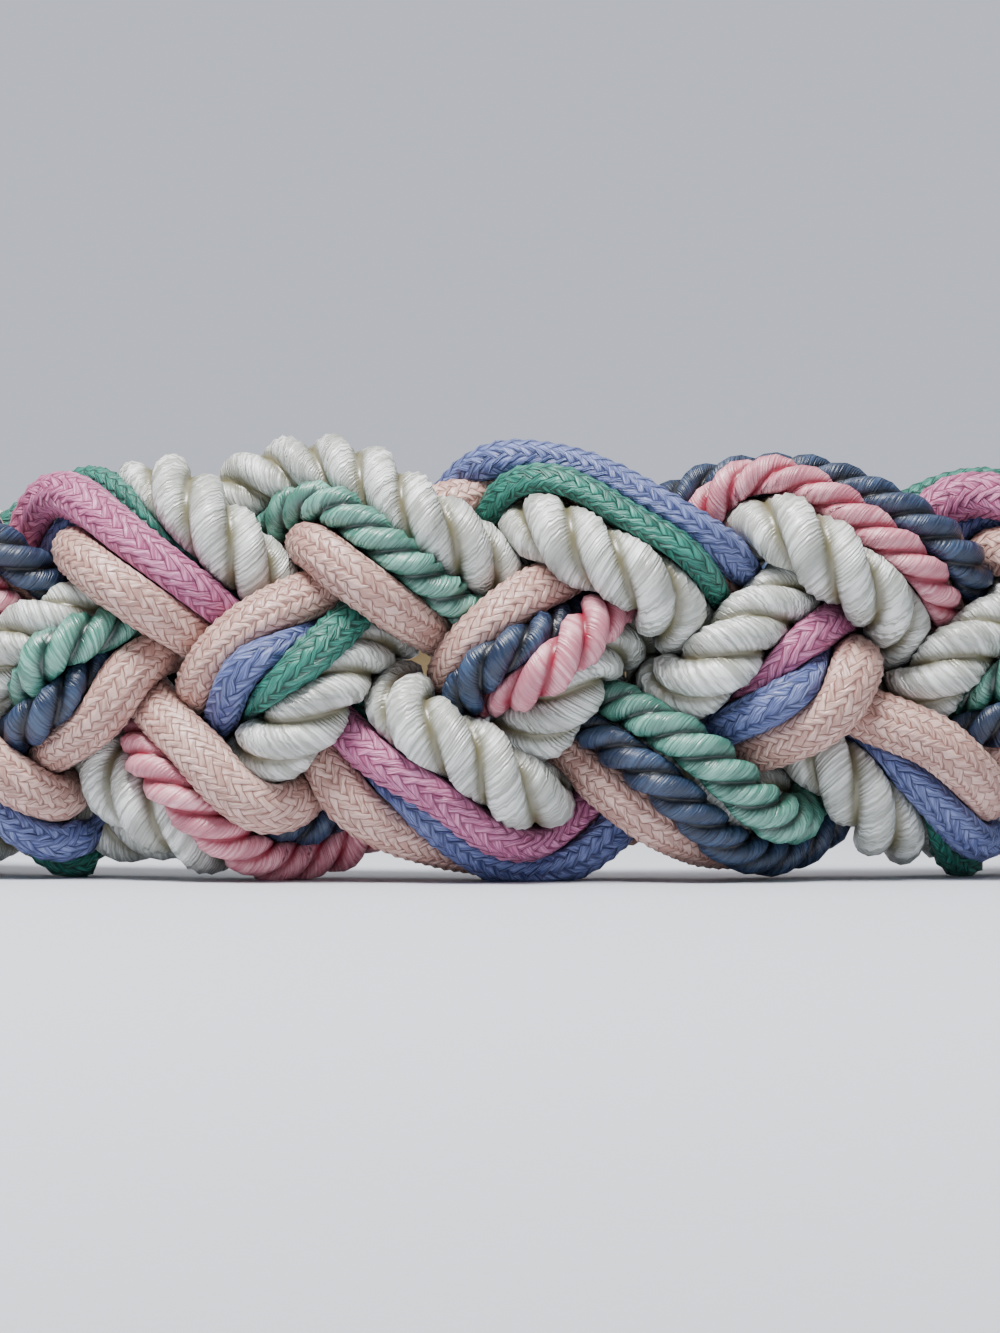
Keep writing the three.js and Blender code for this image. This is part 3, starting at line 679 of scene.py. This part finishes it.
def satin_twist(name, body, bright, groove_shade, thread, slant, roughness, groove_shade_start, gloss, gloss_turn, depth):
    """Plies wrapped with fine shiny threads whose colour is partly painted sheen, with painted shade darkening
    each ply toward the grooves between the plies. thread is the width of a thread in millimetres, slant the
    threads that it leans across its ply, and depth the relief in metres."""
    finish = Finish(name)
    around, along = finish.cord_coordinates()
    plies = finish.calc("MULTIPLY", around, float(PLIES))
    across = finish.calc("FRACT", plies)
    ply = finish.calc("FLOOR", plies)
    off_middle = finish.calc("ABSOLUTE", finish.calc("MULTIPLY", finish.calc("SUBTRACT", across, 0.5), 2.0))
    line = finish.calc("MULTIPLY_ADD", across, slant, finish.calc("DIVIDE", along, thread))
    lane = finish.calc("MULTIPLY_ADD", ply, PLY_STEP, finish.calc("MULTIPLY", across, THREAD_CHANGE))
    threads = finish.noise(finish.join(line, lane), 1.0, 1.5)
    ridges = finish.calc("SINE", finish.calc("MULTIPLY", line, 2 * math.pi))
    patches = finish.noise(finish.join(finish.calc("MULTIPLY", along, PATCH_RATE), lane), 1.0, 2.0)
    height = finish.calc("MULTIPLY_ADD", ridges, EVEN_RIDGES, finish.calc("MULTIPLY", threads, UNEVEN_RIDGES))
    raised = finish.calc("SUBTRACT", 1.0, finish.fade(off_middle, RIDGES_SINK, 1.0))
    height = finish.calc("MULTIPLY", height, raised)
    # Partly painted sheen: the threads vary at random between body and bright, partly real thread tone and
    # partly the glint of the shiny threads
    light = finish.blend(finish.fade(threads, DULL_THREAD, BRIGHT_THREAD), body, bright)
    light = finish.blend(finish.fade(patches, DULL_PATCH, BRIGHT_PATCH), shade(body, WORN_SHADE), light)
    # Painted shade: toward the groove between two plies, each ply's colour darkens to the groove colour
    colour = finish.blend(finish.fade(off_middle, groove_shade_start, 1.0), light, groove_shade)
    finish.set(Base_Color=colour, Roughness=finish.calc("MULTIPLY_ADD", threads, ROUGHNESS_SPREAD, roughness))
    finish.set(Specular_IOR_Level=gloss, Anisotropic_Rotation=gloss_turn, **SATIN_GLOSS)
    tangent = finish.nodes.new("ShaderNodeTangent")
    tangent.direction_type = "UV_MAP"
    tangent.uv_map = "cord"
    finish.set(Tangent=tangent.outputs[0])
    finish.relief(height, depth)
    return finish.material


# Fibres of the braided floats, in shares of a float or of the noise that colours them
FLOAT_STEP, STRIP_STEP = 3.17, 5.7          # set the floats and the columns apart in the noise
FIBRE_CHANGE = 1.1                          # how much a fibre changes across its float
FLOAT_TONE, STRIP_TONE = 1.73, 2.39         # the same for the tone of whole floats
ALONG_FLAT, ACROSS_FLAT = 0.5, 0.35         # powers of the sines over a float
FIBRE_RELIEF = 0.8
DULL_FIBRE, BRIGHT_FIBRE = 0.36, 0.64
DULL_FLOAT, EVEN_FLOAT, BRIGHT_FLOAT = 0.3, 0.5, 0.7
GAP_SHADE_DEPTH, GAP_SHADE_EDGE = 0.15, 0.6             # crown heights between which the painted shade in the gaps between floats ends
COTTON_FUZZ = {"Sheen Weight": 0.04, "Sheen Roughness": 0.5}


def braided_cotton(name, body, bright, groove_shade, columns, lean, fibres, patchy, roughness, depth):
    """Floats of fine fibres in leaning columns, with painted shade in the gaps between floats. fibres is how
    fast they change along a float, patchy how much whole floats differ in tone, and depth the relief in metres."""
    finish = Finish(name)
    around, along = finish.cord_coordinates()
    strips = finish.calc("MULTIPLY", around, float(columns))
    zigzag = finish.calc("PINGPONG", strips, 1.0)
    across = finish.calc("FRACT", strips)
    strip = finish.calc("FLOOR", strips)
    parity = finish.calc("MULTIPLY", finish.calc("MODULO", strip, 2.0), 0.5)
    level = finish.calc("MULTIPLY_ADD", zigzag, lean, along)
    phase = finish.calc("ADD", level, parity)
    float_number = finish.calc("FLOOR", phase)
    inside = finish.calc("FRACT", phase)
    arch = finish.calc("SINE", finish.calc("MULTIPLY", inside, math.pi))
    ends = finish.calc("SINE", finish.calc("MULTIPLY", across, math.pi))
    crown = finish.calc("MULTIPLY", finish.calc("POWER", arch, ALONG_FLAT),
                        finish.calc("POWER", ends, ACROSS_FLAT))
    mark = finish.join(
        finish.calc("MULTIPLY_ADD", float_number, FLOAT_STEP, finish.calc("MULTIPLY", phase, fibres)),
        finish.calc("MULTIPLY_ADD", strip, STRIP_STEP, finish.calc("MULTIPLY", across, FIBRE_CHANGE)))
    threads = finish.noise(mark, 1.0, 1.0)
    tone = finish.noise(finish.join(finish.calc("MULTIPLY", float_number, FLOAT_TONE),
                                    finish.calc("MULTIPLY", strip, STRIP_TONE)), 1.0, 0.0)
    height = finish.calc("MULTIPLY_ADD", threads, FIBRE_RELIEF, crown)
    light = finish.blend(finish.fade(threads, DULL_FIBRE, BRIGHT_FIBRE), shade(body, WORN_SHADE), bright)
    for extreme, colour in ((DULL_FLOAT, body), (BRIGHT_FLOAT, bright)):
        share = finish.calc("MULTIPLY", finish.fade(tone, EVEN_FLOAT, extreme), patchy)
        light = finish.blend(share, light, colour)
    # Painted shade: where the crown is low, in the gaps between floats, the colour darkens to the groove colour
    colour = finish.blend(finish.fade(crown, GAP_SHADE_DEPTH, GAP_SHADE_EDGE), groove_shade, light)
    finish.set(Base_Color=colour, Roughness=roughness, **COTTON_FUZZ)
    finish.relief(height, depth)
    return finish.material


# Colours of the brass, darkened all over as painted shade, so the sleeve looks shaded where it shows through
# gaps in the braid
DEEP_BRASS = (0.31, 0.215, 0.10, 1)
PALE_BRASS = (0.47, 0.345, 0.18, 1)
TARNISH = (0.17, 0.12, 0.06, 1)
RUBBED_BRASS = (0.62, 0.48, 0.28, 1)


def brushed_brass():
    """Brass darkened as painted shade, brushed along the sleeve"""
    finish = Finish("brushed brass")
    around, along = finish.cord_coordinates()
    place = finish.nodes.new("ShaderNodeTexCoord").outputs["Object"]
    strokes = finish.join(finish.calc("MULTIPLY", around, 700.0), finish.calc("MULTIPLY", along, 0.12))
    brushing = finish.noise(strokes, 1.0, 3.0)
    tone = finish.noise(place, 60.0, 4.0)
    spots = finish.noise(place, 420.0, 3.0)
    # Painted shade, in part: both brass colours are darker than plain brass so the sleeve looks shaded through
    # the braid's gaps
    colour = finish.blend(finish.fade(tone, 0.3, 0.7), DEEP_BRASS, PALE_BRASS)
    colour = finish.blend(finish.fade(spots, 0.62, 0.75), colour, TARNISH)
    rubbed = finish.calc("MULTIPLY", finish.fade(brushing, 0.5, 0.8), 0.3)
    colour = finish.blend(rubbed, colour, RUBBED_BRASS)
    worn = finish.calc("MULTIPLY_ADD", brushing, 0.25, finish.calc("MULTIPLY_ADD", tone, 0.15, 0.16))
    finish.set(Base_Color=colour, Metallic=1.0, Roughness=worn)
    finish.relief(brushing, 0.00003)
    return finish.material


WHITE_SATIN = satin_twist(
    "white satin rope", body=(0.40, 0.415, 0.37, 1), bright=(0.86, 0.885, 0.85, 1),
    groove_shade=(0.15, 0.135, 0.07, 1), groove_shade_start=0.52, thread=0.26, slant=1.2, roughness=0.25, gloss=0.8,
    gloss_turn=0.91, depth=0.00015)
MINT_SATIN = satin_twist(
    "mint satin twist", body=(0.04, 0.19, 0.135, 1), bright=(0.20, 0.48, 0.38, 1),
    groove_shade=(0.001, 0.022, 0.015, 1), groove_shade_start=0.38, thread=0.23, slant=1.6, roughness=0.27, gloss=0.8,
    gloss_turn=0.09, depth=0.0001)
ROSE_SATIN = satin_twist(
    "rose satin twist", body=(0.55, 0.17, 0.225, 1), bright=(0.81, 0.41, 0.46, 1),
    groove_shade=(0.26, 0.008, 0.03, 1), groove_shade_start=0.48, thread=0.25, slant=0.8, roughness=0.30, gloss=0.6,
    gloss_turn=0.09, depth=0.00009)
SLATE_SATIN = satin_twist(
    "slate satin twist", body=(0.012, 0.024, 0.058, 1), bright=(0.045, 0.08, 0.155, 1),
    groove_shade=(0.001, 0.002, 0.005, 1), groove_shade_start=0.38, thread=0.23, slant=0.8, roughness=0.30, gloss=0.45,
    gloss_turn=0.09, depth=0.00009)

# The floats of a finish follow those of its cord's mesh
PEACH_FLOATS = {"columns": 16, "lean": 0.9}
COTTON_FLOATS = {"columns": 10, "lean": 1.25}
COTTON_FIBRES = {"fibres": 9.0, "patchy": 0.3, "roughness": 0.42, "depth": 0.0003}
PEACH_BRAID = braided_cotton(
    "peach braid", body=(0.48, 0.265, 0.22, 1), bright=(0.70, 0.465, 0.40, 1), groove_shade=(0.26, 0.115, 0.09, 1),
    fibres=4.0, patchy=0.8, roughness=0.36, depth=0.00016, **PEACH_FLOATS)
PINK_COTTON = braided_cotton(
    "pink cotton braid", body=(0.38, 0.075, 0.19, 1), bright=(0.66, 0.245, 0.42, 1),
    groove_shade=(0.21, 0.03, 0.09, 1), **COTTON_FLOATS, **COTTON_FIBRES)
BLUE_COTTON = braided_cotton(
    "blue cotton braid", body=(0.062, 0.088, 0.26, 1), bright=(0.20, 0.245, 0.50, 1),
    groove_shade=(0.026, 0.037, 0.12, 1), **COTTON_FLOATS, **COTTON_FIBRES)
GREEN_COTTON = braided_cotton(
    "green cotton braid", body=(0.008, 0.11, 0.08, 1), bright=(0.043, 0.28, 0.21, 1),
    groove_shade=(0.002, 0.038, 0.026, 1), **COTTON_FLOATS, **COTTON_FIBRES)

# How each kind of cord is made: its sizes in millimetres and its finish
THICK_TWIST = {"hand": 1, "row_length": 1.2, "ply_roundness": 0.54}
THIN_TWIST = {"hand": -1, "row_length": 1.3, "ply_roundness": 0.53}
TWISTS = {
    "white_rope": {"lay_length": 17.0, "finish": WHITE_SATIN, **THICK_TWIST},
    "mint_twist": {"lay_length": 12.0, "finish": MINT_SATIN, **THIN_TWIST},
    "rose_twist": {"lay_length": 13.0, "finish": ROSE_SATIN, **THIN_TWIST},
    "slate_twist": {"lay_length": 13.0, "finish": SLATE_SATIN, **THIN_TWIST},
}
COTTON = {"points": 2, "pitch": 1.75, "depth": 0.34, **COTTON_FLOATS}
BRAIDS = {
    "peach_braid": {"points": 2, "pitch": 1.2, "depth": 0.28, "finish": PEACH_BRAID, **PEACH_FLOATS},
    "pink_braid": {"finish": PINK_COTTON, **COTTON},
    "blue_braid": {"finish": BLUE_COTTON, **COTTON},
    "green_braid": {"finish": GREEN_COTTON, **COTTON},
}


def make_cords():
    routes = draw_routes(settle_cords())
    press_cords(routes)
    replaced = set()
    for number, (strand, cord) in enumerate(CORD_NAMES):
        name = f"{strand}_{cord}"
        recipe = dict(TWISTS.get(cord) or BRAIDS[cord])
        finish = recipe.pop("finish")
        maker = twist_cord if cord in TWISTS else braid_cord
        swell = SWELL["rope" if cord == "white_rope" else "cord"]
        piece = maker(name, routes[number], RADII[number], swell, seed=number, **recipe)
        piece.data.materials.append(finish)
        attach(piece, "root")
        if strand not in replaced:
            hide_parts(strand)
            replaced.add(strand)


# Floor, light and camera

FLOOR_SIZE = 12


def lay_floor():
    """A plain pale floor on all sides of the belt"""
    sheet = bmesh.new()
    bmesh.ops.create_grid(sheet, x_segments=1, y_segments=1, size=FLOOR_SIZE / 2)
    mesh = bpy.data.meshes.new("floor")
    sheet.to_mesh(mesh)
    sheet.free()
    floor = bpy.data.objects.new("floor", mesh)
    bpy.context.scene.collection.objects.link(floor)
    finish = Finish("pale floor")
    place = finish.nodes.new("ShaderNodeTexCoord").outputs["Object"]
    grain = finish.noise(place, 900.0, 3.0)
    finish.set(Base_Color=finish.blend(grain, (0.60, 0.62, 0.68, 1), (0.64, 0.66, 0.72, 1)), Roughness=0.85)
    mesh.materials.append(finish.material)


def hang_light(name, place, aim, size, power):
    light = bpy.data.lights.new(name, "AREA")
    light.shape = "RECTANGLE"
    light.size, light.size_y = size
    light.energy = power
    lamp = bpy.data.objects.new(name, light)
    lamp.location = place
    direction = Vector(aim) - Vector(place)
    lamp.rotation_euler = direction.to_track_quat("-Z", "Y").to_euler()
    bpy.context.scene.collection.objects.link(lamp)


# Glow of the studio walls, by how steeply a direction rises
WALL_GLOW = {"From Min": 0.15, "From Max": 0.45, "To Min": 0.78, "To Max": 0.1}
WALL_COLOUR = (0.84, 0.88, 1.0, 1)


def set_light():
    hang_light("softbox above", place=(-0.12, -0.28, 0.50), aim=(0, -0.10, 0.02), size=(0.22, 0.13), power=6.0)
    hang_light("ceiling", place=(0, 0, 2.5), aim=(0, 0, 0), size=(4, 4), power=74.0)
    world = bpy.data.worlds.new("studio")
    world.use_nodes = True
    nodes, links = world.node_tree.nodes, world.node_tree.links
    direction = nodes.new("ShaderNodeSeparateXYZ")
    links.new(nodes.new("ShaderNodeTexCoord").outputs["Generated"], direction.inputs[0])
    rise = nodes.new("ShaderNodeMapRange")
    rise.interpolation_type = "SMOOTHSTEP"
    links.new(direction.outputs["Z"], rise.inputs["Value"])
    for name, value in WALL_GLOW.items():
        rise.inputs[name].default_value = value
    links.new(rise.outputs[0], nodes["Background"].inputs["Strength"])
    nodes["Background"].inputs["Color"].default_value = WALL_COLOUR
    bpy.context.scene.world = world


PHOTO_HEIGHT = 1333         # in pixels
SENSOR = 36                 # millimetres of the camera's sensor across the photograph's height
PIXEL = 0.1135e-3           # metres of belt in one pixel of the photograph
CAMERA_DISTANCE = 0.5       # from the front of the belt
BELT_MIDDLE_PIXEL = 662     # row of the photograph that the belt's middle is on


def set_camera():
    camera = bpy.data.cameras.new("camera")
    camera.sensor_width = SENSOR
    camera.lens = SENSOR * CAMERA_DISTANCE / (PHOTO_HEIGHT * PIXEL)
    holder = bpy.data.objects.new("camera", camera)
    height = HALF_WIDTH / 1000 + (BELT_MIDDLE_PIXEL - PHOTO_HEIGHT / 2) * PIXEL
    holder.location = (0, -(LOOP_Y + HALF_THICKNESS) / 1000 - CAMERA_DISTANCE, height)
    holder.rotation_euler = (math.pi / 2, 0, 0)
    bpy.context.scene.collection.objects.link(holder)
    bpy.context.scene.camera = holder


make_cords()
make_clasp()
lay_floor()
set_light()
set_camera()
